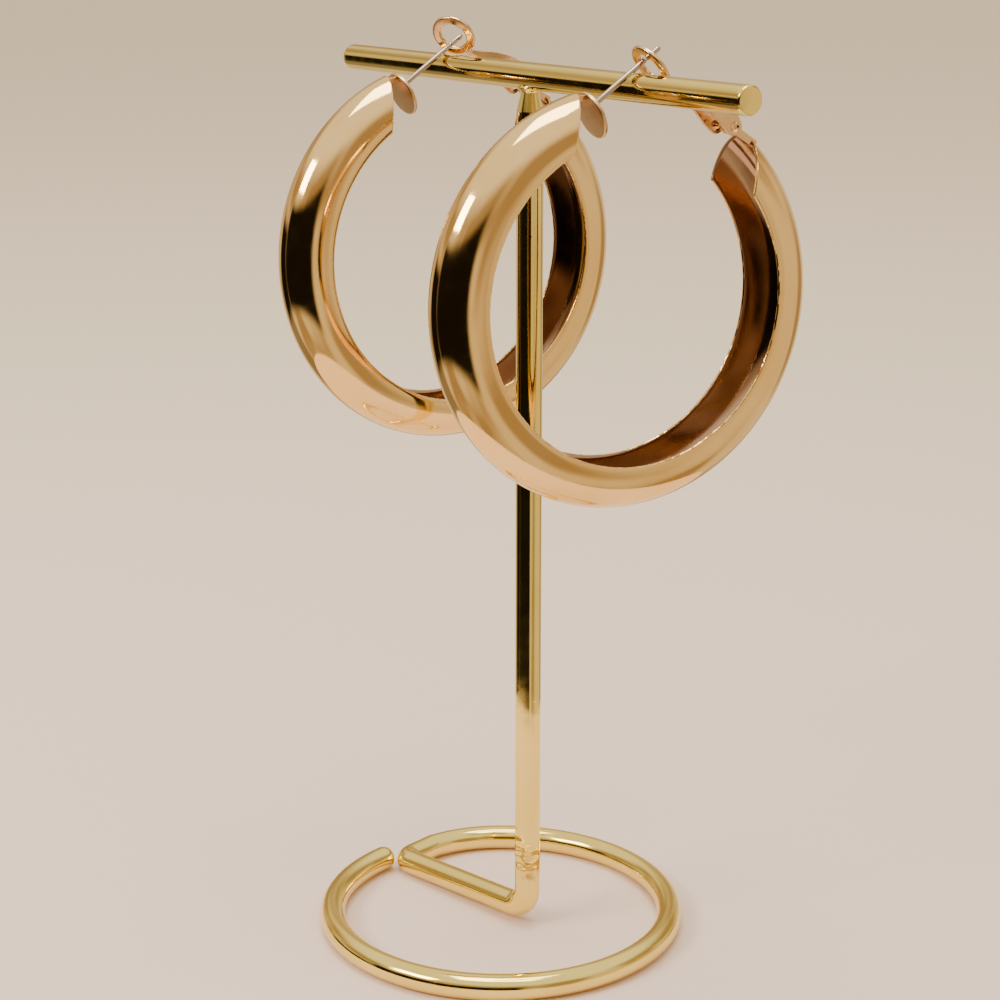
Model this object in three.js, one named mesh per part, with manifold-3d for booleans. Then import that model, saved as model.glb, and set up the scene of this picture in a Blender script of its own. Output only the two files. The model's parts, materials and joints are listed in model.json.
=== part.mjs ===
// A pair of hollow hoop earrings with hinged omega clips, hung on a bent-wire T-bar stand.
// Millimetres, +Z up. The cross bar runs along X and the base ring is centred on the origin.

import * as THREE from 'three';
import { mergeVertices } from 'three/addons/utils/BufferGeometryUtils.js';
import Module from 'manifold-3d';

const wasm = await Module();
wasm.setup();

const TURN = Math.PI * 2;
const DEG = Math.PI / 180;

// Stand: one wire bent into ring, spoke and pole, with a cross bar of the same rod.
const ROD_RADIUS = 2.05;
const ROD_SIDES = 16;
const RING_RADIUS = 28;
const RING_START = -171.3 * DEG;
const RING_END = -526 * DEG;
const RING_STEPS = 54;
const RING_TUCK = 2.9;
const TUCK_SWEEP = 42 * DEG;
const CORNER_RADIUS = 2.2;
const END_SCALES = [0.96, 0.78, 0.45];
const END_STEP = 0.62;
const FOOT_RADIUS = 3.6;
const FOOT_LIFT = 1;
const BEND_STEPS = 7;
const POLE_X = 4.55;
const POLE_Y = 2.2;
const BAR_HEIGHT = 138.6;
const BAR_LENGTH = 103.4;
const BAR_SHIFT = -0.9;
const BAR_CHAMFER = 0.4;
const NECK_TOP = 136.9;
const NECK_LENGTH = 3.6;
const NECK_SCALE = 0.58;

// Hoop: a domed sheet channel open toward its own centre, cut by a straight slot at the top.
const HOOP_RADIUS = 30.2;
const HOOP_DEPTH = 6.5;
const HOOP_WIDTH = 9.7;
const DOME_SQUARENESS = 2;
const DOME_STEPS = 10;
const HOOP_STEPS = 60;
const SHEET = 0.5;
const SLOT_HALF_BACK = 13.4;
const SLOT_HALF_FRONT = 15;

// Post and pad, joined by a tab to the front end of the slot. u runs across the bar, v up.
const POST_U = -11.56;
const POST_V = 24.9;
const PAD_RADIUS = 3.45;
const PAD_THICKNESS = 0.6;
const PAD_DROP = 0.95;
const TAB_ROOT_U = -15;
const TAB_ROOT_V = 25.5;
const TAB_WIDTH = 1.8;
const TAB_THICKNESS = 0.8;
const POST_RADIUS = 0.4;
const POST_LENGTH = 13.7;
const POST_TAPER = 0.6;
const POST_TIP_RADIUS = 0.22;

// Hinge, at the back end of the slot.
const HINGE_U = 10.7;
const HINGE_V = 26.9;
const LUG_ROOT_U = 15.3;
const LUG_ROOT_V = 25.2;
const LUG_WIDTH = 1.2;
const LUG_OFFSET = 1.3;
const LUG_THICKNESS = 1.1;
const KNUCKLE_RADIUS = 1.15;
const BOSS_RADIUS = 0.45;
const BOSS_ROOT = 0.8;
const BOSS_PLAY = 0.1;
const LONG_BOSS = 1.6;
const SHORT_BOSS = 0.9;
const BOSS_SIDES = 16;

// Clip: a folded channel with two ears, each punched inward into a boss that it turns on, and
// ending in a flat eye that the post passes through.
const CLIP_WIDTH = 5.2;
const CLIP_SHEET = 0.5;
const CLIP_REACH = 12.4;
const NECK_WIDTH = 2.2;
const EAR_RADIUS = 1.3;
const EYE_OUTER = 3.6;
const EYE_INNER = 2.2;
const EYE_THICKNESS = 0.7;
const EYE_BEND = 22 * DEG;

// How each earring hangs: where along and across the bar, and how it is turned.
const REST_GAP = 0.3;
const HANGS = [
  {
    side: 'right', along: 27.4, across: -2.8, yaw: -6.5 * DEG, tilt: 1.2 * DEG,
    roll: 13.65 * DEG, padAngle: 36.2 * DEG, postAngle: 49.2 * DEG,
    clipAngle: 163 * DEG, eyeTwist: 0,
  },
  {
    side: 'left', along: -21.9, across: -0.6, yaw: -1.1 * DEG, tilt: 0.8 * DEG,
    roll: 6.95 * DEG, padAngle: 31 * DEG, postAngle: 41.2 * DEG,
    clipAngle: 157.5 * DEG, eyeTwist: 26 * DEG,
  },
];

const FINISHES = {
  stand: { color: 0xd9bf63, roughness: 0.2, metalness: 1 },
  hoop: { color: 0xd9a066, roughness: 0.18, metalness: 1 },
  clip: { color: 0xd2a070, roughness: 0.25, metalness: 1 },
};

// ---- turning geometry into solids -----------------------------------------------------

function solidOf(geometry) {
  const bare = geometry.clone();
  bare.deleteAttribute('normal');
  bare.deleteAttribute('uv');
  const welded = mergeVertices(bare, 1e-5);
  const index = Array.from(welded.index.array);
  const faces = [];
  for (let i = 0; i < index.length; i += 3) {
    const [a, b, c] = index.slice(i, i + 3);
    if (a !== b && b !== c && c !== a) {
      faces.push([a, b, c]);
    }
  }
  const build = (list) => new wasm.Manifold(new wasm.Mesh({
    numProp: 3,
    vertProperties: Float32Array.from(welded.attributes.position.array),
    triVerts: Uint32Array.from(list.flat()),
  }));
  const solid = build(faces);
  return solid.volume() > 0 ? solid : build(faces.map(([a, b, c]) => [a, c, b]));
}

function geometryOf(solid) {
  const mesh = solid.getMesh();
  const geometry = new THREE.BufferGeometry();
  const points = new Float32Array(mesh.vertProperties);
  geometry.setAttribute('position', new THREE.BufferAttribute(points, 3));
  geometry.setIndex(Array.from(mesh.triVerts));
  const flat = geometry.toNonIndexed();
  flat.computeVertexNormals();
  return flat;
}

const join = (...solids) => solids.reduce((sum, next) => sum.add(next));

// A flat outline extruded by the given thickness, centred on z = 0.
function slab(outline, thickness) {
  const shape = new THREE.Shape(outline.map(([x, y]) => new THREE.Vector2(x, y)));
  const geometry = new THREE.ExtrudeGeometry(shape, { depth: thickness, bevelEnabled: false });
  return geometry.translate(0, 0, -thickness / 2);
}

// A rod along z, centred on the origin.
function rod(radius, length, sides = 20, tipRadius = radius) {
  return new THREE.CylinderGeometry(tipRadius, radius, length, sides).rotateX(Math.PI / 2);
}

// A ring about the z axis, turned from a closed outline of [radius, z] points.
function turned(outline, steps) {
  const closed = [...outline, outline[0]].map(([r, z]) => new THREE.Vector2(r, z));
  return new THREE.LatheGeometry(closed, steps).rotateX(Math.PI / 2);
}

// ---- stand ------------------------------------------------------------------------------

// Points round a bend of the given radius at a corner, on the way from one point to the next.
function bend(from, corner, to, radius) {
  const back = from.clone().sub(corner).normalize();
  const ahead = to.clone().sub(corner).normalize();
  const half = back.angleTo(ahead) / 2;
  const middle = back.clone().add(ahead).normalize();
  const centre = corner.clone().addScaledVector(middle, radius / Math.sin(half));
  const start = corner.clone().addScaledVector(back, radius / Math.tan(half)).sub(centre);
  const axis = new THREE.Vector3().crossVectors(back, ahead).negate().normalize();
  const sweep = Math.PI - half * 2;
  return Array.from({ length: BEND_STEPS + 1 }, (_, i) => (
    start.clone().applyAxisAngle(axis, (sweep * i) / BEND_STEPS).add(centre)
  ));
}

// Round wire along a path, with one size factor for each point. The first section has a flat
// facing `up`, and no section twists.
function wire(path, sizes, up) {
  const circumradius = ROD_RADIUS / Math.cos(Math.PI / ROD_SIDES);
  const points = [];
  const faces = [];
  let facing = up.clone();
  let tangent = path[1].clone().sub(path[0]).normalize();
  path.forEach((centre, i) => {
    const before = path[Math.max(i - 1, 0)];
    const after = path[Math.min(i + 1, path.length - 1)];
    const next = after.clone().sub(before).normalize();
    facing = facing.applyQuaternion(new THREE.Quaternion().setFromUnitVectors(tangent, next));
    tangent = next;
    const side = new THREE.Vector3().crossVectors(tangent, facing);
    for (let j = 0; j < ROD_SIDES; j += 1) {
      const angle = ((j + 0.5) * TURN) / ROD_SIDES;
      const point = centre.clone();
      point.addScaledVector(facing, Math.cos(angle) * circumradius * sizes[i]);
      point.addScaledVector(side, Math.sin(angle) * circumradius * sizes[i]);
      points.push(point.x, point.y, point.z);
    }
  });
  const at = (i, j) => i * ROD_SIDES + (j % ROD_SIDES);
  for (let i = 0; i < path.length - 1; i += 1) {
    for (let j = 0; j < ROD_SIDES; j += 1) {
      faces.push(at(i, j), at(i, j + 1), at(i + 1, j + 1));
      faces.push(at(i, j), at(i + 1, j + 1), at(i + 1, j));
    }
  }
  const last = path.length - 1;
  for (let j = 1; j < ROD_SIDES - 1; j += 1) {
    faces.push(at(0, 0), at(0, j + 1), at(0, j));
    faces.push(at(last, 0), at(last, j), at(last, j + 1));
  }
  const geometry = new THREE.BufferGeometry();
  geometry.setAttribute('position', new THREE.Float32BufferAttribute(points, 3));
  geometry.setIndex(faces);
  return geometry;
}

// The ring starts tucked inside its own circle, so that its free end can pass outside the bend.
function standWire() {
  const onRing = (angle) => {
    const left = Math.max(0, 1 - (RING_START - angle) / TUCK_SWEEP);
    const radius = RING_RADIUS - RING_TUCK * left * left;
    return new THREE.Vector3(radius * Math.cos(angle), radius * Math.sin(angle), ROD_RADIUS);
  };
  const top = new THREE.Vector3(POLE_X, POLE_Y, BAR_HEIGHT);
  const foot = new THREE.Vector3(POLE_X, POLE_Y, ROD_RADIUS + FOOT_LIFT);
  const corner = onRing(RING_START);
  const stride = (RING_START - RING_END) / RING_STEPS;
  const ring = Array.from({ length: RING_STEPS }, (_, i) => (
    onRing(RING_START - (i + 1) * stride)
  ));
  const end = END_SCALES.map((_, i) => (
    onRing(RING_END - ((i + 1) * END_STEP) / RING_RADIUS)
  ));
  const neck = new THREE.Vector3(POLE_X, POLE_Y, NECK_TOP);
  const shoulder = new THREE.Vector3(POLE_X, POLE_Y, NECK_TOP - NECK_LENGTH);
  const body = [
    ...bend(top, foot, corner, FOOT_RADIUS),
    ...bend(foot, corner, ring[1], CORNER_RADIUS),
    ...ring.slice(1),
  ];
  const sizes = [NECK_SCALE, NECK_SCALE, 1, ...body.map(() => 1), ...END_SCALES];
  // Built from the ring's free end, so that the ring keeps a level flat underneath.
  const path = [top, neck, shoulder, ...body, ...end];
  return wire(path.reverse(), sizes.reverse(), new THREE.Vector3(0, 0, 1));
}

function crossBar() {
  const rim = ROD_RADIUS / Math.cos(Math.PI / ROD_SIDES);
  const half = BAR_LENGTH / 2;
  const profile = [
    [0, -half], [rim - BAR_CHAMFER, -half], [rim, BAR_CHAMFER - half],
    [rim, half - BAR_CHAMFER], [rim - BAR_CHAMFER, half], [0, half],
  ].map(([r, y]) => new THREE.Vector2(r, y));
  const bar = new THREE.LatheGeometry(profile, ROD_SIDES);
  bar.rotateY(Math.PI / ROD_SIDES).rotateZ(-Math.PI / 2);
  return bar.translate(POLE_X + BAR_SHIFT, POLE_Y, BAR_HEIGHT);
}

// ---- earring, in its own frame: x is u, y is v, z is the hoop's axis ----------------------

// Half the channel's section, as [radius, z] points from one rim over the dome to the other.
function dome(inset) {
  const rim = HOOP_RADIUS - HOOP_DEPTH;
  const power = 2 / DOME_SQUARENESS;
  return Array.from({ length: DOME_STEPS + 1 }, (_, i) => {
    const angle = (Math.PI * i) / DOME_STEPS;
    const across = Math.sign(Math.cos(angle)) * Math.abs(Math.cos(angle)) ** power;
    const out = Math.sin(angle) ** power;
    const halfWidth = HOOP_WIDTH / 2 - inset;
    return [rim + (HOOP_DEPTH - inset) * out, halfWidth * across];
  });
}

function shell() {
  const section = [...dome(0), ...dome(SHEET).reverse()];
  const edge = HOOP_WIDTH / 2;
  const slot = slab([
    [-SLOT_HALF_BACK, -edge - 1], [SLOT_HALF_BACK, -edge - 1], [SLOT_HALF_BACK, -edge],
    [SLOT_HALF_FRONT, edge], [SLOT_HALF_FRONT, edge + 1], [-SLOT_HALF_FRONT, edge + 1],
    [-SLOT_HALF_FRONT, edge], [-SLOT_HALF_BACK, -edge],
  ], HOOP_RADIUS * 2);
  slot.rotateX(Math.PI / 2).translate(0, HOOP_RADIUS, 0);
  return solidOf(turned(section, HOOP_STEPS)).subtract(solidOf(slot));
}

// A bar of rectangular section in the u-v plane, from one point to another.
function tongue(fromU, fromV, toU, toV, thickness, width, offset) {
  const length = Math.hypot(toU - fromU, toV - fromV);
  const bar = new THREE.BoxGeometry(length, thickness, width).translate(length / 2, 0, 0);
  bar.rotateZ(Math.atan2(toV - fromV, toU - fromU));
  return solidOf(bar.translate(fromU, fromV, offset));
}

function padAndPost(hang) {
  const pad = rod(PAD_RADIUS, PAD_THICKNESS, 32);
  const straight = POST_LENGTH - POST_TAPER;
  const post = rod(POST_RADIUS, straight, 12).translate(0, 0, straight / 2);
  const tip = rod(POST_RADIUS, POST_TAPER, 12, POST_TIP_RADIUS);
  tip.translate(0, 0, straight + POST_TAPER / 2);
  const place = (geometry, angle, drop) => solidOf(
    geometry.rotateY(Math.PI / 2).translate(0, -drop, 0).rotateZ(angle).translate(POST_U, POST_V, 0),
  );
  const rise = PAD_RADIUS / 2;
  const tabU = POST_U - rise * Math.sin(hang.padAngle);
  const tabV = POST_V + rise * Math.cos(hang.padAngle);
  return join(
    place(pad, hang.padAngle, PAD_DROP),
    place(post, hang.postAngle, 0),
    place(tip, hang.postAngle, 0),
    tongue(TAB_ROOT_U, TAB_ROOT_V, tabU, tabV, TAB_THICKNESS, TAB_WIDTH, 0),
  );
}

// The lug stands beside the ear that faces the hoop's front, whose long boss turns in its bore.
function lug() {
  const arm = tongue(
    HINGE_U, HINGE_V, LUG_ROOT_U, LUG_ROOT_V, LUG_THICKNESS, LUG_WIDTH, LUG_OFFSET,
  );
  const atHinge = (geometry) => solidOf(geometry.translate(HINGE_U, HINGE_V, LUG_OFFSET));
  const knuckle = atHinge(rod(KNUCKLE_RADIUS, LUG_WIDTH, 20));
  const bore = atHinge(rod(BOSS_RADIUS + BOSS_PLAY, LUG_WIDTH * 2, BOSS_SIDES));
  return join(arm, knuckle).subtract(bore);
}

// ---- clip, in its own frame: x from hinge to eye, y toward the bar, z the hinge axis ------

// The channel's side view.
function clipSide() {
  const arc = Array.from({ length: 9 }, (_, i) => {
    const angle = (75 + i * 20) * DEG;
    return [EAR_RADIUS * Math.cos(angle), EAR_RADIUS * Math.sin(angle)];
  });
  return [
    ...arc,
    [1.4, -2.4], [3.2, -2.8], [5.4, -2.75], [8, -2.1], [10.2, -1.1], [CLIP_REACH, -0.35],
    [CLIP_REACH, 0.15], [9.6, -0.1], [7, -0.35], [4.4, 0.1],
  ];
}

// Plan view: full width over the ears, narrowing to the neck.
function clipPlan(inset) {
  const wide = CLIP_WIDTH / 2 - inset;
  const narrow = NECK_WIDTH / 2 - inset;
  return [
    [-3, wide], [2.5, wide], [CLIP_REACH - 1, narrow], [CLIP_REACH + 1, narrow],
    [CLIP_REACH + 1, -narrow], [CLIP_REACH - 1, -narrow], [2.5, -wide], [-3, -wide],
  ];
}

function channel() {
  const depth = 12;
  const plan = (inset) => solidOf(slab(clipPlan(inset), depth).rotateX(Math.PI / 2));
  const outer = solidOf(slab(clipSide(), CLIP_WIDTH)).intersect(plan(0));
  const hollowSide = [
    [-3, 4], [-3, -1.9], [1.5, -1.9], [3.3, -2.3], [5.4, -2.25], [8, -1.6], [10, -0.7],
    [10.6, 4],
  ];
  const hollow = solidOf(slab(hollowSide, CLIP_WIDTH)).intersect(plan(CLIP_SHEET));
  return outer.subtract(hollow);
}

// The long boss stands on the front ear and fills the lug's bore. The short one faces it.
function bosses() {
  const face = CLIP_WIDTH / 2 - CLIP_SHEET;
  const sunk = CLIP_SHEET / 2;
  const long = rod(BOSS_RADIUS, LONG_BOSS + sunk, BOSS_SIDES);
  long.translate(0, 0, face + sunk - (LONG_BOSS + sunk) / 2);
  const short = rod(BOSS_ROOT, SHORT_BOSS + sunk, BOSS_SIDES, BOSS_RADIUS);
  short.translate(0, 0, (SHORT_BOSS + sunk) / 2 - face - sunk);
  return join(solidOf(long), solidOf(short));
}

function eye(twist) {
  const edge = EYE_THICKNESS / 2;
  const ease = edge * 0.6;
  const section = [
    [EYE_INNER, -ease / 2], [EYE_INNER + ease, -edge], [EYE_OUTER - ease, -edge],
    [EYE_OUTER, -ease / 2], [EYE_OUTER, ease / 2], [EYE_OUTER - ease, edge],
    [EYE_INNER + ease, edge], [EYE_INNER, ease / 2],
  ];
  const ring = turned(section, 28).rotateX(Math.PI / 2 + twist);
  ring.translate(EYE_OUTER - 0.5, 0, 0).rotateZ(-EYE_BEND);
  return solidOf(ring.translate(CLIP_REACH - 0.2, -0.1, 0));
}

function clip(clipAngle, twist) {
  const level = join(channel(), bosses(), eye(twist));
  return level.rotate([0, 0, clipAngle / DEG]).translate([HINGE_U, HINGE_V, 0]);
}

// ---- hanging --------------------------------------------------------------------------------

// How far the bar's axis is above the hoop's centre when the post rests just clear of the bar.
function barAboveCentre(hang) {
  const lean = hang.postAngle - hang.roll;
  const clear = ROD_RADIUS + POST_RADIUS + REST_GAP;
  const footU = POST_U * Math.cos(hang.roll) + POST_V * Math.sin(hang.roll);
  const footV = POST_V * Math.cos(hang.roll) - POST_U * Math.sin(hang.roll);
  return footV - ((footU + hang.across) * Math.sin(lean) + clear) / Math.cos(lean);
}

function placement(hang) {
  const toWorld = new THREE.Matrix4().set(
    0, 0, 1, 0,
    1, 0, 0, 0,
    0, 1, 0, 0,
    0, 0, 0, 1,
  );
  const centre = new THREE.Vector3(
    POLE_X + hang.along,
    POLE_Y + hang.across,
    BAR_HEIGHT - barAboveCentre(hang),
  );
  return new THREE.Matrix4().makeTranslation(centre)
    .multiply(new THREE.Matrix4().makeRotationZ(hang.yaw))
    .multiply(toWorld)
    .multiply(new THREE.Matrix4().makeRotationX(-hang.tilt))
    .multiply(new THREE.Matrix4().makeRotationZ(-hang.roll));
}

// ---- assembly ---------------------------------------------------------------------------------

function piece(name, geometry, finish) {
  const mesh = new THREE.Mesh(geometry, new THREE.MeshStandardMaterial(FINISHES[finish]));
  mesh.name = name;
  return mesh;
}

const group = new THREE.Group();
group.name = 'hoop_earrings_on_stand';

const stand = join(solidOf(standWire()), solidOf(crossBar()));
group.add(piece('stand', geometryOf(stand), 'stand'));

for (const hang of HANGS) {
  const place = placement(hang);
  const add = (name, solid, finish) => {
    group.add(piece(`${name}_${hang.side}`, geometryOf(solid).applyMatrix4(place), finish));
  };
  add('hoop', join(shell(), padAndPost(hang), lug()), 'hoop');
  add('clip', clip(hang.clipAngle, hang.eyeTwist), 'clip');
}

// The origin is under the middle of the whole, on the surface the ring rests on.
const bounds = new THREE.Box3().setFromObject(group);
const middle = bounds.getCenter(new THREE.Vector3());
group.position.set(-middle.x, -middle.y, -bounds.min.z);

export default group;
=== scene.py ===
"""Looks for a pair of hollow hoop earrings with omega clips, hung on a bent-wire T-bar stand.

Shapes are made in millimetres in their own frames and placed in the row frame, in metres.
"""

import json
import math

import bmesh
import bpy
from mathutils import Matrix, Vector, noise


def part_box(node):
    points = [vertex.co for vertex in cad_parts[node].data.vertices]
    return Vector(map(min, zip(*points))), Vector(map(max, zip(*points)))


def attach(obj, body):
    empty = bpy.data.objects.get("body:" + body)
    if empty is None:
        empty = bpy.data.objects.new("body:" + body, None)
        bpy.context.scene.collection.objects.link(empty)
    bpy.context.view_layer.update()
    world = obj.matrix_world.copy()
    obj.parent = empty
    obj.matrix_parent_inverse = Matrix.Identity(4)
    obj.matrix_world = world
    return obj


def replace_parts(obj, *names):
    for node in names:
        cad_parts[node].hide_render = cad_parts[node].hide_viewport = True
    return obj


MM = 0.001
TURN = 2 * math.pi

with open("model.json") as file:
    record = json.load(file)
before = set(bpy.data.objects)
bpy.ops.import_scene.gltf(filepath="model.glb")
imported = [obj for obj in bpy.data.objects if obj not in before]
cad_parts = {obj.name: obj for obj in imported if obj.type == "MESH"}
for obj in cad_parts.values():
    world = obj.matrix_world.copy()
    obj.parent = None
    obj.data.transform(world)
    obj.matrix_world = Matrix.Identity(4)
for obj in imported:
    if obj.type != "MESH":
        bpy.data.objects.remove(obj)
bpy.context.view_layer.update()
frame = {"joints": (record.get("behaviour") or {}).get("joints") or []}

# ---- driving dimensions, in millimetres -----------------------------------------------------

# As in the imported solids, but for the outer radii of the hoop and the eye, which are smaller by
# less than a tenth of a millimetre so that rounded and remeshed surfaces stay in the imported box.
ROD_RADIUS = 2.05
RING_RADIUS = 28.0
RING_START = math.radians(-171.3)
RING_END = math.radians(-526)
RING_TUCK = 2.9
TUCK_SWEEP = math.radians(42)
CORNER_RADIUS = 2.2
FOOT_RADIUS = 3.6
FOOT_LIFT = 1.0
FOOT_SWELL = 0.03
POLE_X = 4.55
POLE_Y = 2.2
BAR_HEIGHT = 138.6
BAR_LENGTH = 103.4
BAR_SHIFT = -0.9
NECK_TOP = 136.9
NECK_LENGTH = 3.6
NECK_SCALE = 0.58
WELD_HEIGHT = 12.6
WELD_REACH = 5.0
WELD_LUMP = 0.26
WELD_FACING = (0.78, -0.62, 0.0)
TIP_LENGTH = 1.9
TIP_BLUNTNESS = 0.6
BAR_ROUNDING = 0.4
BAR_WELD_ROUNDING = 0.15

HOOP_RADIUS = 30.12
HOOP_DEPTH = 6.5
HOOP_WIDTH = 9.7
DOME_SQUARENESS = 2.0
SHEET = 0.5
RIM_BURR = 0.016
RIM_WAVE = 0.012
BURR_PITCH = 34
CUT_ROUNDING = 0.11
SLOT_HALF_BACK = 13.4
SLOT_HALF_FRONT = 15.0
POST_U = -11.56
POST_V = 24.9
PAD_RADIUS = 3.45
PAD_THICKNESS = 0.6
PAD_ROUNDING = 0.24
PAD_DROP = 0.95
TAB_ROOT_U = -15.0
TAB_ROOT_V = 25.5
TAB_WIDTH = 1.8
TAB_THICKNESS = 0.8
POST_RADIUS = 0.4
POST_LENGTH = 13.7
POST_ROUNDING = 0.08
GROOVE_FROM_TIP = 2.7
GROOVE_SCALE = 0.72
HINGE_U = 10.7
HINGE_V = 26.9
LUG_ROOT_U = 15.3
LUG_ROOT_V = 25.2
LUG_WIDTH = 1.2
LUG_OFFSET = 1.3
LUG_THICKNESS = 1.1
KNUCKLE_RADIUS = 1.15
BOSS_RADIUS = 0.45
BOSS_ROOT = 0.8
BOSS_PLAY = 0.1
LONG_BOSS = 1.6
SHORT_BOSS = 0.9
BOSS_ROUNDING = 0.15
DIMPLE_RADIUS = 0.72
DIMPLE_DEPTH = 0.34
CLIP_WIDTH = 5.2
CLIP_SHEET = 0.5
CLIP_REACH = 12.4
NECK_WIDTH = 2.2
EAR_RADIUS = 1.3
EYE_OUTER = 3.54
EYE_INNER = 2.2
EYE_THICKNESS = 0.7
EYE_ROUNDING = 0.3
EYE_BEND = math.radians(22)

# How far each earring is turned about its own axis, the directions of its pad, post and clip
# and the twist of its eye, in degrees, and a number that sets its noise apart.
HANGS = {
    "right": {"roll": 13.65, "pad": 36.2, "post": 49.2, "clip": 163.0, "twist": 0.0, "seed": 3.0},
    "left": {"roll": 6.95, "pad": 31.0, "post": 41.2, "clip": 157.5, "twist": 26.0, "seed": 11.0},
}

ROOT = "stand_and_hoops"

# The cell of each remesh in millimetres, and how finely the round shapes are divided.
TAB_VOXEL = 0.09
LUG_VOXEL = 0.07
CLIP_VOXEL = 0.085
PATH_STEPS = 260
WIRE_SIDES = 44
BEND_STEPS = 20
NECK_STEPS = 24
TIP_STEPS = 12
DOME_STEPS = 40
RIM_STEPS = 4
SWEEP_STEPS = 560
EYE_STEPS = 96
CIRCLE_STEPS = 32
DISC_STEPS = 96

# The table top that the metal mirrors, the floor beyond it, and the room's colours.
TABLE_REACH = 0.105
FLOOR_REACH = 7.0
FLOOR_DROP = 0.03 * MM
PINK_COLOUR = (0.92, 0.74, 0.64)
BEIGE_COLOUR = (0.90, 0.78, 0.60)
WALL_COLOUR = (0.96, 0.76, 0.51)
SHADE_COLOUR = (0.48, 0.33, 0.18)
CEILING_COLOUR = (1.25, 1.12, 0.95)
TAN_COLOUR = (0.34, 0.26, 0.18)
DARK_COLOUR = (0.012, 0.009, 0.007)

# Painted over the room's walls: colour, then its fades by bearing and by height, in degrees.
ROOM_PATCHES = [
    (CEILING_COLOUR, [], [(24, 44)]),
    (TAN_COLOUR, [(-176, -168), (-118, -128)], [(-6, -16)]),
    (DARK_COLOUR, [(-159, -152), (-112, -122)], [(-30, -24), (12, 4)]),
    (DARK_COLOUR, [(-124, -112), (-16, -26)], [(-32, -24), (24, 16)]),
]

# Soft lamps: name, place and size in metres, watts, colour.
SOFTBOXES = [
    ("overhead", (0.02, -0.02, 1.1), (0.55, 0.55), 7.0, (1.0, 0.95, 0.88)),
    ("key", (-0.06, -0.80, 0.66), (0.42, 0.26), 5.5, (1.0, 0.94, 0.86)),
]

# Plated metals: light and deep tint, least and most roughness, and the depth of waves, grain and
# pits in millimetres.
METALS = {
    "yellow_plate": ((0.95, 0.76, 0.23), (0.90, 0.69, 0.18), 0.06, 0.15, 0.012, 0.0010, 0.008),
    "rose_plate": ((0.97, 0.67, 0.27), (0.92, 0.60, 0.21), 0.05, 0.12, 0.006, 0.0008, 0),
    # The darker copy of the rose plating below is painted shade, for the faces inside the hoops'
    # hollow.
    "rose_plate_painted_shade": ((0.50, 0.33, 0.21), (0.36, 0.22, 0.13), 0.07, 0.14, 0.014, 0.0012, 0),
    "clip_plate": ((0.92, 0.62, 0.32), (0.84, 0.53, 0.26), 0.10, 0.22, 0.010, 0.0015, 0),
    "pad_plate": ((0.80, 0.55, 0.29), (0.72, 0.48, 0.24), 0.26, 0.38, 0.006, 0.0025, 0),
    "post_wire": ((0.60, 0.50, 0.41), (0.50, 0.41, 0.33), 0.14, 0.28, 0.004, 0.0015, 0),
}

# Noise scales of the plating: colour drift, rougher patches, waves, grain and pits.
DRIFT_SCALE = 70.0
PATCH_SCALE = 420.0
WAVE_SCALE = 160.0
GRAIN_SCALE = 2600.0
PIT_SCALE = 330.0

# The dark blotches by the pole's weld: how far from it in millimetres, their reach and colour.
STAIN_OFFSET = (1.7, -1.2, -1.4)
STAIN_REACH = 4.0
STAIN_SCALE = 900.0
STAIN_COLOUR = (0.50, 0.30, 0.08)

# The photo's viewpoint, from the middle of the base ring, in millimetres.
CAMERA_AT = (274.52, -183.48, 162.91)
CAMERA_PITCH = math.radians(90 - 15.334)
CAMERA_YAW = math.radians(56.2686)
CAMERA_LENS = 77.86


# ---- materials ------------------------------------------------------------------------------


def node_tree(name):
    material = bpy.data.materials.new(name)
    material.use_nodes = True
    nodes = material.node_tree.nodes
    return material, nodes, material.node_tree.links, nodes["Principled BSDF"]


def ramp_node(nodes, stops):
    ramp = nodes.new("ShaderNodeValToRGB")
    elements = ramp.color_ramp.elements
    elements[0].position, elements[0].color = stops[0]
    elements[1].position, elements[1].color = stops[-1]
    for position, colour in stops[1:-1]:
        elements.new(position).color = colour
    return ramp


def noise_node(nodes, links, coords, scale, detail):
    texture = nodes.new("ShaderNodeTexNoise")
    texture.inputs["Scale"].default_value = scale
    texture.inputs["Detail"].default_value = detail
    links.new(coords.outputs["Object"], texture.inputs["Vector"])
    return texture


def bump_node(nodes, links, height, depth, under=None):
    """A bump of a depth in millimetres, on top of another bump if one is given."""
    node = nodes.new("ShaderNodeBump")
    node.inputs["Strength"].default_value = 1.0
    node.inputs["Distance"].default_value = depth * MM
    links.new(height, node.inputs["Height"])
    if under is not None:
        links.new(under, node.inputs["Normal"])
    return node.outputs["Normal"]


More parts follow.
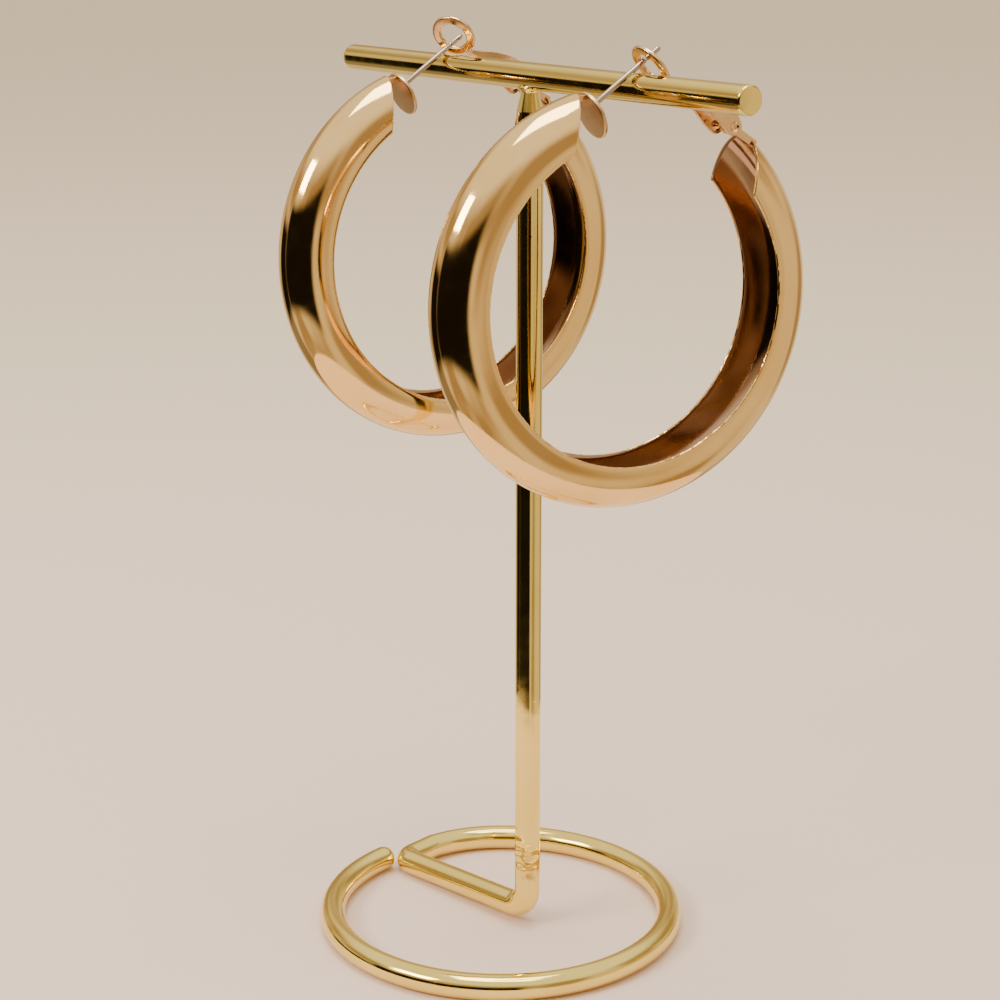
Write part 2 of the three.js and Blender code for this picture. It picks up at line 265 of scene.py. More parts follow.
def plated_metal(name, light, deep, rough_low, rough_high, wave, grain, pits):
    """Polished plating: slow colour drift, patchy gloss, slight waves, fine grain and pits."""
    material, nodes, links, shader = node_tree(name)
    shader.inputs["Metallic"].default_value = 1.0
    coords = nodes.new("ShaderNodeTexCoord")

    drift = noise_node(nodes, links, coords, DRIFT_SCALE, 4.0)
    tint = ramp_node(nodes, [(0.35, (*deep, 1)), (0.62, (*light, 1))])
    links.new(drift.outputs["Fac"], tint.inputs["Fac"])
    links.new(tint.outputs["Color"], shader.inputs["Base Color"])

    patches = noise_node(nodes, links, coords, PATCH_SCALE, 6.0)
    gloss = nodes.new("ShaderNodeMapRange")
    gloss.inputs["From Min"].default_value = 0.35
    gloss.inputs["From Max"].default_value = 0.7
    gloss.inputs["To Min"].default_value = rough_low
    gloss.inputs["To Max"].default_value = rough_high
    links.new(patches.outputs["Fac"], gloss.inputs["Value"])
    links.new(gloss.outputs["Result"], shader.inputs["Roughness"])

    waves = noise_node(nodes, links, coords, WAVE_SCALE, 2.0)
    normal = bump_node(nodes, links, waves.outputs["Fac"], wave)
    fine = noise_node(nodes, links, coords, GRAIN_SCALE, 3.0)
    normal = bump_node(nodes, links, fine.outputs["Fac"], grain, normal)
    if pits:
        cells = nodes.new("ShaderNodeTexVoronoi")
        cells.inputs["Scale"].default_value = PIT_SCALE
        links.new(coords.outputs["Object"], cells.inputs["Vector"])
        dot = nodes.new("ShaderNodeMapRange")
        dot.inputs["From Min"].default_value = 0.02
        dot.inputs["From Max"].default_value = 0.09
        links.new(cells.outputs["Distance"], dot.inputs["Value"])
        normal = bump_node(nodes, links, dot.outputs["Result"], pits, normal)
    links.new(normal, shader.inputs["Normal"])
    return material


def stained(material, centre, reach, colour):
    """Darkens a plated metal round one point of the row frame, in soft-edged blotches."""
    nodes = material.node_tree.nodes
    links = material.node_tree.links
    shader = nodes["Principled BSDF"]
    base = shader.inputs["Base Color"].links[0].from_socket
    coords = nodes.new("ShaderNodeTexCoord")
    distance = nodes.new("ShaderNodeVectorMath")
    distance.operation = "DISTANCE"
    distance.inputs[1].default_value = centre
    links.new(coords.outputs["Object"], distance.inputs[0])
    near = nodes.new("ShaderNodeMapRange")
    near.inputs["From Min"].default_value = reach
    near.inputs["From Max"].default_value = reach * 0.3
    links.new(distance.outputs["Value"], near.inputs["Value"])
    blotch = noise_node(nodes, links, coords, STAIN_SCALE, 5.0)
    sharp = ramp_node(nodes, [(0.48, (0, 0, 0, 1)), (0.7, (1, 1, 1, 1))])
    links.new(blotch.outputs["Fac"], sharp.inputs["Fac"])
    amount = nodes.new("ShaderNodeMath")
    amount.operation = "MULTIPLY"
    links.new(near.outputs["Result"], amount.inputs[0])
    links.new(sharp.outputs["Color"], amount.inputs[1])
    mix = nodes.new("ShaderNodeMix")
    mix.data_type = "RGBA"
    links.new(amount.outputs["Value"], mix.inputs["Factor"])
    links.new(base, mix.inputs["A"])
    mix.inputs["B"].default_value = (*colour, 1)
    links.new(mix.outputs["Result"], shader.inputs["Base Color"])


def matt_ground(name, near_colour, far_colour):
    """A matt surface, one tone round the object and another further off, faintly mottled."""
    material, nodes, links, shader = node_tree(name)
    shader.inputs["Roughness"].default_value = 0.85
    coords = nodes.new("ShaderNodeTexCoord")
    distance = nodes.new("ShaderNodeVectorMath")
    distance.operation = "LENGTH"
    links.new(coords.outputs["Object"], distance.inputs[0])
    mottle = noise_node(nodes, links, coords, 9.0, 4.0)
    sway = nodes.new("ShaderNodeMath")
    sway.operation = "MULTIPLY_ADD"
    sway.inputs[1].default_value = 0.05
    links.new(mottle.outputs["Fac"], sway.inputs[0])
    links.new(distance.outputs["Value"], sway.inputs[2])
    tint = ramp_node(nodes, [(0.12, (*near_colour, 1)), (0.55, (*far_colour, 1))])
    links.new(sway.outputs["Value"], tint.inputs["Fac"])
    links.new(tint.outputs["Color"], shader.inputs["Base Color"])
    return material


# ---- mesh helpers ---------------------------------------------------------------------------


def add_piece(name, mesh, placement, material, body, sharp=40):
    """A finished mesh in millimetres becomes a piece of the object, in metres."""
    mesh.transform(placement @ Matrix.Scale(MM, 4))
    mesh.shade_smooth()
    mesh.set_sharp_from_angle(angle=math.radians(sharp))
    mesh.materials.clear()
    mesh.materials.append(material)
    piece = bpy.data.objects.new(name, mesh)
    bpy.context.scene.collection.objects.link(piece)
    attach(piece, body)
    return piece


def mesh_of(name, points, faces):
    mesh = bpy.data.meshes.new(name)
    mesh.from_pydata([tuple(p) for p in points], [], faces)
    tidy = bmesh.new()
    tidy.from_mesh(mesh)
    bmesh.ops.recalc_face_normals(tidy, faces=tidy.faces)
    tidy.to_mesh(mesh)
    tidy.free()
    return mesh


def strip(rows):
    """Quads between neighbouring closed rows of points, all the same length."""
    count = len(rows[0])
    faces = []
    for i in range(len(rows) - 1):
        for j in range(count):
            a = i * count + j
            b = i * count + (j + 1) % count
            faces.append((a, b, b + count, a + count))
    return faces


def turned(name, profile, steps):
    """A closed solid of revolution about z. The profile's ends lie on the axis."""
    rows = [
        [(r * math.cos(TURN * j / steps), r * math.sin(TURN * j / steps), z) for j in range(steps)]
        for r, z in profile[1:-1]
    ]
    points = [p for row in rows for p in row]
    faces = strip(rows)
    last = len(points) - steps
    points += [(0, 0, profile[0][1]), (0, 0, profile[-1][1])]
    for j in range(steps):
        nxt = (j + 1) % steps
        faces.append((nxt, j, len(points) - 2))
        faces.append((last + j, last + nxt, len(points) - 1))
    return mesh_of(name, points, faces)


def rounded(corners, radius, steps=5):
    """A profile of [r, z] points with its inner corners rounded off."""
    out = [corners[0]]
    for before, corner, after in zip(corners, corners[1:], corners[2:]):
        c = Vector(corner)
        back = (Vector(before) - c).normalized()
        ahead = (Vector(after) - c).normalized()
        half = back.angle(ahead) / 2
        reach = min(
            radius / math.tan(half),
            (Vector(before) - c).length * 0.49,
            (Vector(after) - c).length * 0.49,
        )
        for i in range(steps + 1):
            t = i / steps
            p = c + back * reach * (1 - t) ** 2 + ahead * reach * t ** 2
            out.append((p.x, p.y))
    out.append(corners[-1])
    return out


def evaluated(obj, name):
    graph = bpy.context.evaluated_depsgraph_get()
    mesh = bpy.data.meshes.new_from_object(obj.evaluated_get(graph))
    mesh.name = name
    return mesh


def scratch(mesh):
    obj = bpy.data.objects.new("scratch", mesh)
    bpy.context.scene.collection.objects.link(obj)
    return obj


def combined(base, steps, voxel=None, smooth=0):
    """Booleans of a base mesh with others, then an even remesh that rounds the edges."""
    target = scratch(base)
    tools = []
    for operation, mesh in steps:
        tool = scratch(mesh)
        tools.append(tool)
        modifier = target.modifiers.new("cut", "BOOLEAN")
        modifier.operation = operation
        modifier.object = tool
        modifier.solver = "EXACT"
    if voxel:
        remesh = target.modifiers.new("remesh", "REMESH")
        remesh.mode = "VOXEL"
        remesh.voxel_size = voxel
        relax = target.modifiers.new("relax", "SMOOTH")
        relax.factor = 0.5
        relax.iterations = smooth
    mesh = evaluated(target, base.name)
    for obj in [target, *tools]:
        bpy.data.objects.remove(obj)
    return mesh


def circle(radius):
    turns = [TURN * i / CIRCLE_STEPS for i in range(CIRCLE_STEPS)]
    return [(math.cos(a) * radius, math.sin(a) * radius) for a in turns]


def prism(name, outline, low, high):
    count = len(outline)
    points = [(x, y, low) for x, y in outline] + [(x, y, high) for x, y in outline]
    faces = [tuple(reversed(range(count))), tuple(range(count, 2 * count))]
    faces += [(i, (i + 1) % count, (i + 1) % count + count, i + count) for i in range(count)]
    return mesh_of(name, points, faces)


def drawn(points, steps=6):
    """An open run of points eased into a smooth line through them."""
    run = [Vector(p) for p in points]
    run = [run[0] * 2 - run[1], *run, run[-1] * 2 - run[-2]]
    out = []
    for p0, p1, p2, p3 in zip(run, run[1:], run[2:], run[3:]):
        for i in range(steps):
            t = i / steps
            out.append(0.5 * (
                2 * p1 + (p2 - p0) * t + (2 * p0 - 5 * p1 + 4 * p2 - p3) * t * t
                + (3 * p1 - p0 - 3 * p2 + p3) * t ** 3
            ))
    return [tuple(p) for p in [*out, run[-2]]]


# ---- stand ----------------------------------------------------------------------------------


def ring_point(angle):
    left = max(0.0, 1 - (RING_START - angle) / TUCK_SWEEP)
    radius = RING_RADIUS - RING_TUCK * left * left
    return Vector((radius * math.cos(angle), radius * math.sin(angle), ROD_RADIUS))


def bend(before, corner, after, radius, steps):
    back = (before - corner).normalized()
    ahead = (after - corner).normalized()
    half = back.angle(ahead) / 2
    centre = corner + (back + ahead).normalized() * radius / math.sin(half)
    start = corner + back * radius / math.tan(half) - centre
    axis = -back.cross(ahead).normalized()
    sweep = math.pi - 2 * half
    return [
        Matrix.Rotation(sweep * i / steps, 3, axis) @ start + centre for i in range(steps + 1)
    ]


def wire_path():
    """Centreline points with a size factor each, from the pole's top to the ring's free end."""
    foot = Vector((POLE_X, POLE_Y, ROD_RADIUS + FOOT_LIFT))
    corner = ring_point(RING_START)
    stride = (RING_START - RING_END) / PATH_STEPS
    ring = [ring_point(RING_START - i * stride) for i in range(8, PATH_STEPS + 1)]
    shoulder = NECK_TOP - NECK_LENGTH
    neck = [(NECK_TOP + 1.0, NECK_SCALE)]
    for i in range(NECK_STEPS + 1):
        t = 1 - i / NECK_STEPS
        neck.append((shoulder + NECK_LENGTH * t, 1 - (1 - NECK_SCALE) * t))
    plain = [(shoulder - 1.2 - 4 * i, 1.0) for i in range(28)]
    lumpy = [(WELD_HEIGHT + WELD_REACH - 0.25 * i, 1.0) for i in range(int(WELD_REACH * 6))]
    column = neck + [p for p in plain if p[0] > lumpy[0][0] + 0.5] + lumpy
    column = [p for p in column if p[0] > ROD_RADIUS + FOOT_RADIUS + 0.3]
    path = [(Vector((POLE_X, POLE_Y, h)), s) for h, s in column]
    turn = bend(path[-1][0], foot, corner, FOOT_RADIUS, BEND_STEPS)
    path += [
        (p, 1.0 + FOOT_SWELL * math.sin(math.pi * i / BEND_STEPS)) for i, p in enumerate(turn)
    ]
    path += [(p, 1.0) for p in bend(foot, corner, ring[3], CORNER_RADIUS, BEND_STEPS)]
    path += [(p, 1.0) for p in ring[3:]]
    stride = TIP_LENGTH / RING_RADIUS
    for i in range(1, TIP_STEPS + 1):
        a = math.pi / 2 * i / TIP_STEPS
        size = max(0.04, math.cos(a)) ** TIP_BLUNTNESS
        path.append((ring_point(RING_END - math.sin(a) * stride), size))
    return path


def weld_lump(point, outward):
    """How far the solder blob stands out of the pole's camera-side face at this point."""
    facing = outward.dot(Vector(WELD_FACING))
    height = 1 - abs(point.z - WELD_HEIGHT) / WELD_REACH
    if height <= 0 or facing <= 0 or Vector((point.x - POLE_X, point.y - POLE_Y)).length > 4:
        return 0.0
    ripple = 0.5 + 0.8 * noise.noise(point * 0.8) + 0.12 * noise.noise(point * 1.9)
    return WELD_LUMP * max(0.0, ripple) * height ** 0.7 * facing ** 0.8


def stand_wire(placement, material):
    path = wire_path()
    corner = ring_point(RING_START)
    facing = Vector((corner.x - POLE_X, corner.y - POLE_Y, 0)).normalized()
    tangent = Vector((0, 0, -1))
    rows = []
    for i, (centre, size) in enumerate(path):
        before = path[max(i - 1, 0)][0]
        after = path[min(i + 1, len(path) - 1)][0]
        ahead = (after - before).normalized()
        facing = tangent.rotation_difference(ahead) @ facing
        tangent = ahead
        side = tangent.cross(facing)
        row = []
        for j in range(WIRE_SIDES):
            angle = TURN * j / WIRE_SIDES
            outward = facing * math.cos(angle) + side * math.sin(angle)
            point = centre + outward * ROD_RADIUS * size
            row.append(point + outward * weld_lump(point, outward))
        rows.append(row)
    points = [p for row in rows for p in row]
    faces = strip(rows)
    faces.append(tuple(reversed(range(WIRE_SIDES))))
    faces.append(tuple(len(points) - WIRE_SIDES + j for j in range(WIRE_SIDES)))
    piece = add_piece("stand_wire", mesh_of("stand_wire", points, faces), placement, material,
                      ROOT, 55)
    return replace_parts(piece, "stand")


def stand_bar(placement, material):
    half = BAR_LENGTH / 2
    corners = [(0, -half), (ROD_RADIUS, -half), (ROD_RADIUS, half), (0, half)]
    profile = rounded(corners, BAR_ROUNDING)
    middle = [(ROD_RADIUS, -half + 1 + (BAR_LENGTH - 2) * i / 40) for i in range(41)]
    split = len(profile) // 2
    mesh = turned("stand_bar", profile[:split] + middle + profile[split:], 56)
    along = Matrix.Translation((POLE_X + BAR_SHIFT, POLE_Y, BAR_HEIGHT))
    mesh.transform(along @ Matrix.Rotation(math.pi / 2, 4, "Y"))
    return add_piece("stand_bar", mesh, placement, material, ROOT)


def bar_weld(placement, material):
    profile = [(0, 135.8), (1.34, 135.9), (1.38, 136.2), (1.62, 136.55), (1.9, 136.9),
               (1.5, 137.3), (0, 137.4)]
    mesh = turned("stand_bar_weld", rounded(profile, BAR_WELD_ROUNDING, 3), 48)
    for vertex in mesh.vertices:
        wobble = 1 + 0.10 * noise.noise(vertex.co * 1.1) + 0.05 * noise.noise(vertex.co * 3.1)
        vertex.co.x *= wobble
        vertex.co.y *= wobble
    mesh.transform(Matrix.Translation((POLE_X, POLE_Y, 0)))
    return add_piece("stand_bar_weld", mesh, placement, material, ROOT)


# ---- earring, in its own frame: x across the bar, y up, z the hoop's axis -------------------


def dome_points(inset, steps):
    rim = HOOP_RADIUS - HOOP_DEPTH
    power = 2 / DOME_SQUARENESS
    half = HOOP_WIDTH / 2 - inset
    points = []
    for i in range(steps + 1):
        angle = math.pi * i / steps
        across = math.copysign(abs(math.cos(angle)) ** power, math.cos(angle))
        points.append((rim + (HOOP_DEPTH - inset) * math.sin(angle) ** power, half * across))
    return points


def slot_half(across):
    """Half the slot's length, a little longer toward the hoop's front."""
    return SLOT_HALF_BACK + (SLOT_HALF_FRONT - SLOT_HALF_BACK) * (across / HOOP_WIDTH + 0.5)


def faces_inward(face):
    """Whether a face of the shell looks toward the middle of the hoop's own section."""
    middle = HOOP_RADIUS - HOOP_DEPTH * 0.8
    out = Vector((face.center.x, face.center.y)).normalized()
    lean = Vector((face.normal.x, face.normal.y)).dot(out)
    reach = Vector((face.center.x, face.center.y)).length - middle
    return lean * reach + face.normal.z * face.center.z < -0.4


def hoop_shell(side, hang, placement, material, painted_shade_plate):
    """The domed sheet, swept round and cut straight across at both ends of the slot."""
    outer = dome_points(0.0, DOME_STEPS)
    inner = dome_points(SHEET, DOME_STEPS)

    def rim(start, end):
        """The rounded edge of the sheet, from one face of it to the other."""
        a, b = Vector(start), Vector(end)
        middle = (a + b) / 2
        points = []
        for k in range(1, RIM_STEPS):
            turn = math.pi * k / RIM_STEPS
            bulge = Vector((-(b - a).length / 2 * math.sin(turn), 0))
            points.append(tuple(middle + (a - middle) * math.cos(turn) + bulge))
        return points

    section = outer + rim(outer[-1], inner[-1]) + inner[::-1] + rim(inner[0], outer[0])
    around = len(section)
    inner_start = DOME_STEPS + RIM_STEPS
    burred = {*range(DOME_STEPS + 1, inner_start), *range(around - RIM_STEPS + 1, around)}
    rows = []
    for i in range(SWEEP_STEPS + 1):
        t = i / SWEEP_STEPS
        row = []
        for k, (radius, across) in enumerate(section):
            end = math.asin(slot_half(across) / radius)
            theta = end + t * (TURN - 2 * end)
            wobble = 0.0
            if k in burred:
                spot = Vector((
                    math.cos(theta) * BURR_PITCH,
                    math.sin(theta) * BURR_PITCH,
                    across + hang["seed"],
                ))
                wobble = RIM_BURR * noise.noise(spot * 1.6) + RIM_WAVE * noise.noise(spot * 0.6)
            r = radius + wobble
            row.append((r * math.sin(theta), r * math.cos(theta), across + wobble * 0.6))
        rows.append(row)
    points = [p for row in rows for p in row]
    faces = strip(rows)
    for base in (0, SWEEP_STEPS * around):
        for i in range(DOME_STEPS):
            a, b = i, i + 1
            c, d = inner_start + DOME_STEPS - i - 1, inner_start + DOME_STEPS - i
            faces.append((base + a, base + b, base + c, base + d))
        faces.append(tuple(base + k for k in range(DOME_STEPS, inner_start + 1)))
        tail = list(range(inner_start + DOME_STEPS, around)) + [0]
        faces.append(tuple(base + k for k in tail))
    shell = scratch(mesh_of("shell", points, faces))
    ease = shell.modifiers.new("ease", "BEVEL")
    ease.width = CUT_ROUNDING
    ease.segments = 2
    ease.limit_method = "ANGLE"
    ease.angle_limit = math.radians(60)
    mesh = evaluated(shell, f"hoop_shell_{side}")
    bpy.data.objects.remove(shell)
    # The faces that look into the hollow take the darker plating: painted shade inside the hoop.
    in_painted_shade = [faces_inward(face) for face in mesh.polygons]
    piece = add_piece(f"hoop_shell_{side}", mesh, placement, material, ROOT, 45)
    mesh.materials.append(painted_shade_plate)
    for face, inside in zip(mesh.polygons, in_painted_shade):
        face.material_index = int(inside)
    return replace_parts(piece, f"hoop_{side}")


def aimed(degrees, drop=0.0):
    """From a piece standing along z to a line through the post's root, in the earring's frame."""
    return (
        Matrix.Translation((POST_U, POST_V, 0))
        @ Matrix.Rotation(math.radians(degrees), 4, "Z")
        @ Matrix.Translation((0, -drop, 0))
        @ Matrix.Rotation(math.pi / 2, 4, "Y")
    )


def pad(side, hang, placement, material):
    half = PAD_THICKNESS / 2
    corners = [(0, -half), (PAD_RADIUS, -half), (PAD_RADIUS, half), (0, half)]
    profile = rounded(corners, PAD_ROUNDING)
    mesh = turned(f"pad_{side}", profile, 96)
    for vertex in mesh.vertices:
        reach = vertex.co.xy.length / PAD_RADIUS
        vertex.co.z += 0.04 * noise.noise(vertex.co * 0.35) * reach - 0.03 * reach * reach
    mesh.transform(aimed(hang["pad"], PAD_DROP))
    return add_piece(f"pad_{side}", mesh, placement, material, ROOT, 50)


def post(side, hang, placement, material):
    """The straight wire, with the small groove near its tip that a clip snaps into."""
    r = POST_RADIUS
    cut = r * GROOVE_SCALE
    tip = POST_LENGTH
    groove = tip - GROOVE_FROM_TIP
    profile = [
        (0, 0.1), (r, 0.1), (r, groove - 0.3), (cut, groove - 0.1), (cut, groove + 0.1),
        (r, groove + 0.3), (r, tip - 0.35), (r * 0.6, tip), (0, tip),
    ]
    mesh = turned(f"post_{side}", rounded(profile, POST_ROUNDING, 4), 28)
    mesh.transform(aimed(hang["post"]))
    return add_piece(f"post_{side}", mesh, placement, material, ROOT, 60)


def post_solder(side, hang, placement, material):
    """A small fillet round the post's foot."""
    face = PAD_THICKNESS / 2
    profile = [(0, face - 0.2), (0.95, face - 0.1), (0.72, face + 0.08), (0.5, face + 0.34),
               (0.36, face + 0.62), (0, face + 0.66)]
    mesh = turned(f"post_solder_{side}", rounded(profile, POST_ROUNDING, 3), 32)
    for vertex in mesh.vertices:
        wobble = 1 + 0.18 * noise.noise(vertex.co * 1.6 + Vector((hang["seed"], 0, 0)))
        vertex.co.x *= wobble
        vertex.co.y *= wobble
    mesh.transform(aimed(hang["post"]))
    return add_piece(f"post_solder_{side}", mesh, placement, material, ROOT)


def tab(side, hang, placement, material):
    """The bent strip that carries the pad, with a bump of solder where it meets the pad."""
    lean = math.radians(hang["pad"])
    rise = PAD_RADIUS / 2
    root = Vector((TAB_ROOT_U, TAB_ROOT_V, 0))
    end = Vector((POST_U - rise * math.sin(lean), POST_V + rise * math.cos(lean), 0))
    length = (end - root).length
    half = TAB_WIDTH / 2
    thick = TAB_THICKNESS / 2
    outline = [(0, -thick), (length, -thick), (length, thick), (0, thick)]
    bump = bmesh.new()
    bmesh.ops.create_icosphere(bump, subdivisions=4, radius=1.0)
    for vertex in bump.verts:
        lumps = 1 + 0.2 * noise.noise(vertex.co * 1.7 + Vector((0, hang["seed"], 0)))
        vertex.co = Vector((vertex.co.x * 0.5, vertex.co.y * 0.42, vertex.co.z * 0.8)) * lumps
        vertex.co.x += length - 0.25
    blob = bpy.data.meshes.new("blob")
    bump.to_mesh(blob)
    bump.free()
    mesh = combined(prism(f"tab_{side}", outline, -half, half), [("UNION", blob)], TAB_VOXEL, 5)
    turn = math.atan2(end.y - root.y, end.x - root.x)
    mesh.transform(Matrix.Translation(root) @ Matrix.Rotation(turn, 4, "Z"))
    return add_piece(f"tab_{side}", mesh, placement, material, ROOT, 180)


def lug(side, placement, material):
    du = LUG_ROOT_U - HINGE_U
    dv = LUG_ROOT_V - HINGE_V
    length = math.hypot(du, dv)
    angle = math.atan2(dv, du)
    low = LUG_OFFSET - LUG_WIDTH / 2
    high = LUG_OFFSET + LUG_WIDTH / 2
    knuckle = [
        (KNUCKLE_RADIUS * math.cos(t), KNUCKLE_RADIUS * math.sin(t))
        for t in [math.radians(28 + 304 * i / CIRCLE_STEPS) for i in range(CIRCLE_STEPS + 1)]
    ]
    outline = [*knuckle, (length, -LUG_THICKNESS / 2), (length, LUG_THICKNESS / 2)]
    hole = circle(BOSS_RADIUS + BOSS_PLAY)
    mesh = combined(
        prism(f"lug_{side}", outline, low, high),
        [("DIFFERENCE", prism("bore", hole, low - 1, high + 1))],
        voxel=LUG_VOXEL, smooth=4,
    )
    mesh.transform(Matrix.Translation((HINGE_U, HINGE_V, 0)) @ Matrix.Rotation(angle, 4, "Z"))
    return add_piece(f"lug_{side}", mesh, placement, material, ROOT, 180)


def bosses():
    """The two bosses pushed inward from the ears, and the dimples they leave outside."""
    face = CLIP_WIDTH / 2 - CLIP_SHEET
    sunk = CLIP_SHEET / 2
    tip = face - LONG_BOSS
    profile = [(0, face + sunk), (BOSS_RADIUS, face + sunk), (BOSS_RADIUS, tip), (0, tip)]
    long = turned("long", rounded(profile, BOSS_ROUNDING), 40)
    tip = SHORT_BOSS - face
    profile = [(0, -face - sunk), (BOSS_ROOT, -face - sunk), (BOSS_RADIUS, tip), (0, tip)]
    short = turned("short", rounded(profile, BOSS_ROUNDING), 40)
    steps = [("UNION", long), ("UNION", short)]
    outside = CLIP_WIDTH / 2
    for sign in (1, -1):
        bowl = [(0, outside - DIMPLE_DEPTH)]
        bowl += [
            (DIMPLE_RADIUS * math.sin(a), outside - DIMPLE_DEPTH * math.cos(a))
            for a in [math.radians(15 * i) for i in range(1, 7)]
        ]
        bowl += [(DIMPLE_RADIUS, outside + 1), (0, outside + 1)]
        steps.append(("DIFFERENCE", turned("dimple", [(r, z * sign) for r, z in bowl], 40)))
    return steps


def clip(side, hang, placement, material, body):
    """The folded channel, tapering to a neck that flattens into the eye."""
    half = CLIP_WIDTH / 2
    narrow = NECK_WIDTH / 2
    ear = [
        (EAR_RADIUS * math.cos(a), EAR_RADIUS * math.sin(a))
        for a in [math.radians(75 + 10 * i) for i in range(17)]
    ]
    top = drawn([
        (1.4, -2.4), (3.2, -2.8), (5.4, -2.75), (8, -2.1), (10.2, -1.1), (CLIP_REACH, -0.35),
    ])
    under = drawn([(CLIP_REACH, 0.15), (9.6, -0.1), (7, -0.35), (4.4, 0.1), (2.0, 0.85)])
    plan = drawn([(2.5, half), (5.5, half * 0.93), (9, half * 0.62), (CLIP_REACH - 1, narrow)])
    plan = [(-3, half), *plan, (CLIP_REACH + 1, narrow)]
    inner = [(x, z - CLIP_SHEET) for x, z in plan]
    hollow = [(-3, 4), (-3, -1.9), (1.5, -1.9),
              *drawn([(1.6, -1.9), (3.3, -2.3), (5.4, -2.25), (8, -1.6), (10, -0.7)]), (10.6, 4)]

    def plan_prism(name, line):
        outline = [*line, *[(x, -z) for x, z in reversed(line)]]
        mesh = prism(name, outline, -6, 6)
        mesh.transform(Matrix.Rotation(math.pi / 2, 4, "X"))
        return mesh

    within = [("INTERSECT", plan_prism("inner", inner))]
    core = combined(prism("core", hollow, -half, half), within)
    edge = EYE_THICKNESS / 2
    corners = [
        (EYE_INNER, 0), (EYE_INNER, -edge), (EYE_OUTER, -edge), (EYE_OUTER, edge),
        (EYE_INNER, edge), (EYE_INNER, 0),
    ]
    ring = rounded(corners, EYE_ROUNDING, 6)[:-1]
    turns = [TURN * j / EYE_STEPS for j in range(EYE_STEPS)]
    rows = [[(r * math.cos(a), r * math.sin(a), z) for a in turns] for r, z in ring]
    rows.append(rows[0])
    count = len(ring) * EYE_STEPS
    faces = [tuple(k % count for k in face) for face in strip(rows)]
    eye = mesh_of("eye", [p for row in rows[:-1] for p in row], faces)
    eye.transform(
        Matrix.Translation((CLIP_REACH - 0.2, -0.1, 0))
        @ Matrix.Rotation(-EYE_BEND, 4, "Z")
        @ Matrix.Translation((EYE_OUTER - 0.5, 0, 0))
        @ Matrix.Rotation(math.pi / 2 + math.radians(hang["twist"]), 4, "X")
    )
    mesh = combined(
        prism(f"clip_{side}", [*ear, *top, *under], -half, half),
        [
            ("INTERSECT", plan_prism("outer", plan)),
            ("DIFFERENCE", core),
            *bosses(),
            ("UNION", eye),
        ],
        voxel=CLIP_VOXEL, smooth=5,
    )
    mesh.transform(
        Matrix.Translation((HINGE_U, HINGE_V, 0))
        @ Matrix.Rotation(math.radians(hang["clip"]), 4, "Z")
    )
    piece = add_piece(f"omega_clip_{side}", mesh, placement, material, body, 180)
    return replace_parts(piece, f"clip_{side}")


def earring_placement(side, hang):
    """Where the earring's own frame sits, worked out from its hinge joint in the record."""
    joint = next(j for j in frame["joints"] if j["name"] == f"clip_hinge_{side}")
    axis = -Vector(joint["axis"]).normalized()
    across = Vector((0, 0, 1)).cross(axis).normalized()
    up = axis.cross(across)
    level = Matrix((across, up, axis)).transposed().to_4x4()
    turn = level @ Matrix.Rotation(-math.radians(hang["roll"]), 4, "Z")
    hinge = turn @ (Vector((HINGE_U, HINGE_V, 0)) * MM)
    return Matrix.Translation(Vector(joint["pos_m"]) - hinge) @ turn, joint["child"]


# ---- stage ----------------------------------------------------------------------------------


def ground(name, reach, height, ring_centre, material):
    turns = [TURN * i / DISC_STEPS for i in range(DISC_STEPS)]
    edge = [(reach * math.cos(a), reach * math.sin(a), 0) for a in turns]
    mesh = mesh_of(name, edge, [tuple(range(DISC_STEPS))])
    mesh.materials.append(material)
    disc = bpy.data.objects.new(name, mesh)
    disc.location = ring_centre + Vector((0, 0, height))
    bpy.context.scene.collection.objects.link(disc)
    return disc


def floor_and_light(ring_centre):
    """A pale table top that the metal mirrors, on a floor that it doesn't, and soft lamps."""
    pale = matt_ground("pale_ground", PINK_COLOUR, BEIGE_COLOUR)
    ground("table_top", TABLE_REACH, 0.0, ring_centre, pale)
    beyond = ground("floor", FLOOR_REACH, -FLOOR_DROP, ring_centre, pale)
    beyond.visible_glossy = False

    for name, place, size, power, colour in SOFTBOXES:
        lamp = bpy.data.lights.new(name, "AREA")
        lamp.shape = "RECTANGLE"
        lamp.size, lamp.size_y = size
        lamp.energy = power
        lamp.color = colour
        holder = bpy.data.objects.new(name, lamp)
        holder.location = place
        aim = ring_centre + Vector((0, 0, 0.09)) - Vector(place)
        holder.rotation_euler = aim.to_track_quat("-Z", "Y").to_euler()
        bpy.context.scene.collection.objects.link(holder)


def faded(nodes, links, source, low, high):
    """0 below the first angle, 1 above the second, both in degrees; or the other way round."""
    fade = nodes.new("ShaderNodeMapRange")
    fade.interpolation_type = "SMOOTHSTEP"
    fade.inputs["From Min"].default_value = math.radians(min(low, high))
    fade.inputs["From Max"].default_value = math.radians(max(low, high))
    fade.inputs["To Min"].default_value = 0.0 if low < high else 1.0
    fade.inputs["To Max"].default_value = 1.0 if low < high else 0.0
    links.new(source, fade.inputs["Value"])
    return fade.outputs["Result"]


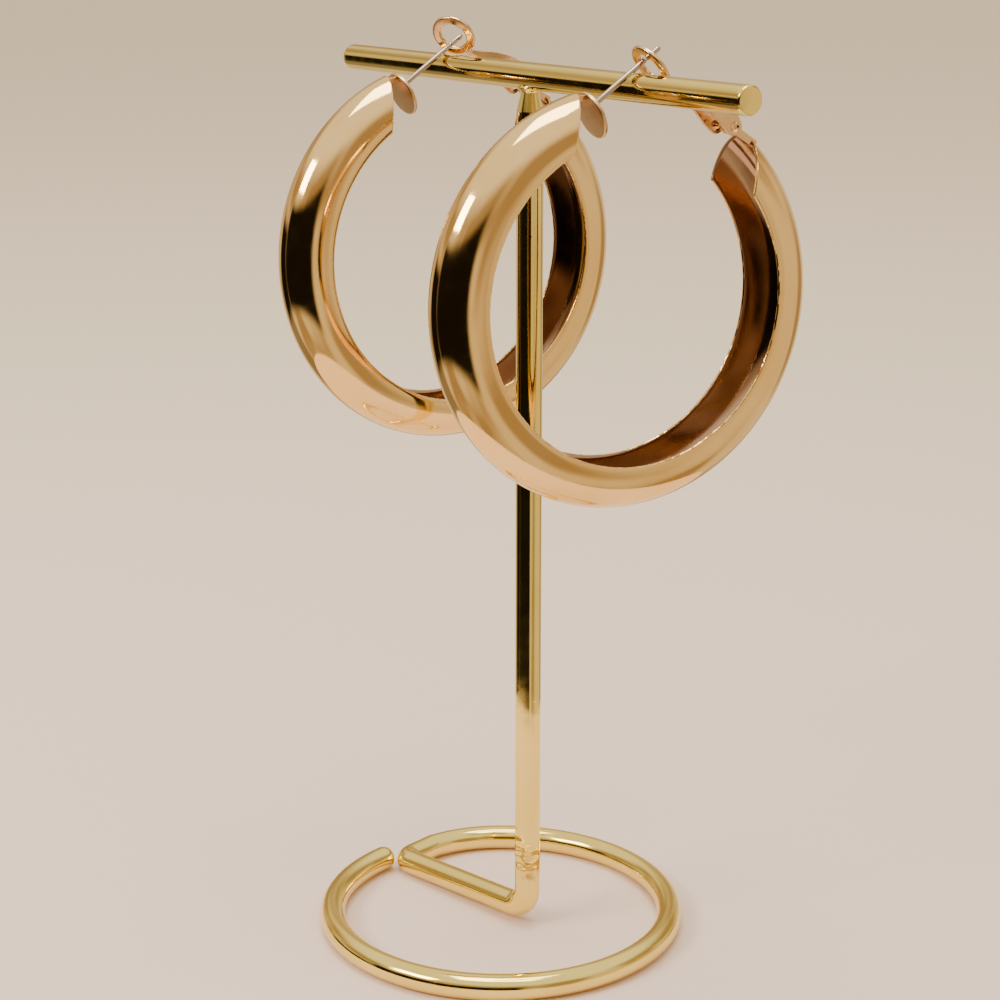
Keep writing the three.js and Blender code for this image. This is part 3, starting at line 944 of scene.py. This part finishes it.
def surroundings():
    """A beige room with a bright ceiling, dark on the side the viewer stands on."""
    world = bpy.data.worlds.new("room")
    world.use_nodes = True
    bpy.context.scene.world = world
    nodes = world.node_tree.nodes
    links = world.node_tree.links

    def maths(operation, *values):
        node = nodes.new("ShaderNodeMath")
        node.operation = operation
        for socket, value in zip(node.inputs, values):
            links.new(value, socket)
        return node.outputs["Value"]

    coords = nodes.new("ShaderNodeTexCoord")
    parts = nodes.new("ShaderNodeSeparateXYZ")
    links.new(coords.outputs["Generated"], parts.inputs["Vector"])
    bearing = maths("ARCTAN2", parts.outputs["Y"], parts.outputs["X"])
    height = maths("ARCSINE", parts.outputs["Z"])

    def masked(base, colour, *fades):
        amount = fades[0]
        for fade in fades[1:]:
            amount = maths("MULTIPLY", amount, fade)
        mix = nodes.new("ShaderNodeMix")
        mix.data_type = "RGBA"
        links.new(amount, mix.inputs["Factor"])
        if base is None:
            mix.inputs["A"].default_value = (*WALL_COLOUR, 1)
        else:
            links.new(base, mix.inputs["A"])
        mix.inputs["B"].default_value = (*colour, 1)
        return mix.outputs["Result"]

    patches = nodes.new("ShaderNodeTexNoise")
    patches.inputs["Scale"].default_value = 1.9
    patches.inputs["Detail"].default_value = 1.0
    links.new(coords.outputs["Generated"], patches.inputs["Vector"])
    shade = ramp_node(nodes, [(0.40, (0, 0, 0, 1)), (0.60, (1, 1, 1, 1))])
    links.new(patches.outputs["Fac"], shade.inputs["Fac"])

    def band(source, edges):
        return [faded(nodes, links, source, *edge) for edge in edges]

    room = masked(None, SHADE_COLOUR, shade.outputs["Color"])
    for colour, bearings, heights in ROOM_PATCHES:
        room = masked(room, colour, *band(bearing, bearings), *band(height, heights))
    links.new(room, nodes["Background"].inputs["Color"])
    nodes["Background"].inputs["Strength"].default_value = 1.0


def camera(ring_centre):
    data = bpy.data.cameras.new("camera")
    data.lens = CAMERA_LENS
    data.clip_start = 0.01
    viewer = bpy.data.objects.new("camera", data)
    viewer.location = ring_centre + Vector(CAMERA_AT) * MM
    viewer.rotation_euler = (CAMERA_PITCH, 0, CAMERA_YAW)
    bpy.context.scene.collection.objects.link(viewer)
    bpy.context.scene.camera = viewer


# ---- assembly -------------------------------------------------------------------------------

stand_low, stand_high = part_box("stand")
ring_centre = Vector((
    (stand_low.x + stand_high.x) / 2 - (POLE_X + BAR_SHIFT) * MM,
    stand_low.y + (RING_RADIUS + ROD_RADIUS) * MM,
    0,
))
on_stand = Matrix.Translation(ring_centre)

plate = {name: plated_metal(name, *look) for name, look in METALS.items()}
weld_spot = ring_centre + (Vector((POLE_X, POLE_Y, WELD_HEIGHT)) + Vector(STAIN_OFFSET)) * MM
stained(plate["yellow_plate"], weld_spot, STAIN_REACH * MM, STAIN_COLOUR)

stand_wire(on_stand, plate["yellow_plate"])
stand_bar(on_stand, plate["yellow_plate"])
bar_weld(on_stand, plate["yellow_plate"])

for side, hang in HANGS.items():
    placement, clip_body = earring_placement(side, hang)
    hoop_shell(side, hang, placement, plate["rose_plate"], plate["rose_plate_painted_shade"])
    pad(side, hang, placement, plate["pad_plate"])
    post(side, hang, placement, plate["post_wire"])
    post_solder(side, hang, placement, plate["post_wire"])
    tab(side, hang, placement, plate["clip_plate"])
    lug(side, placement, plate["clip_plate"])
    clip(side, hang, placement, plate["clip_plate"], clip_body)

floor_and_light(ring_centre)
surroundings()
camera(ring_centre)
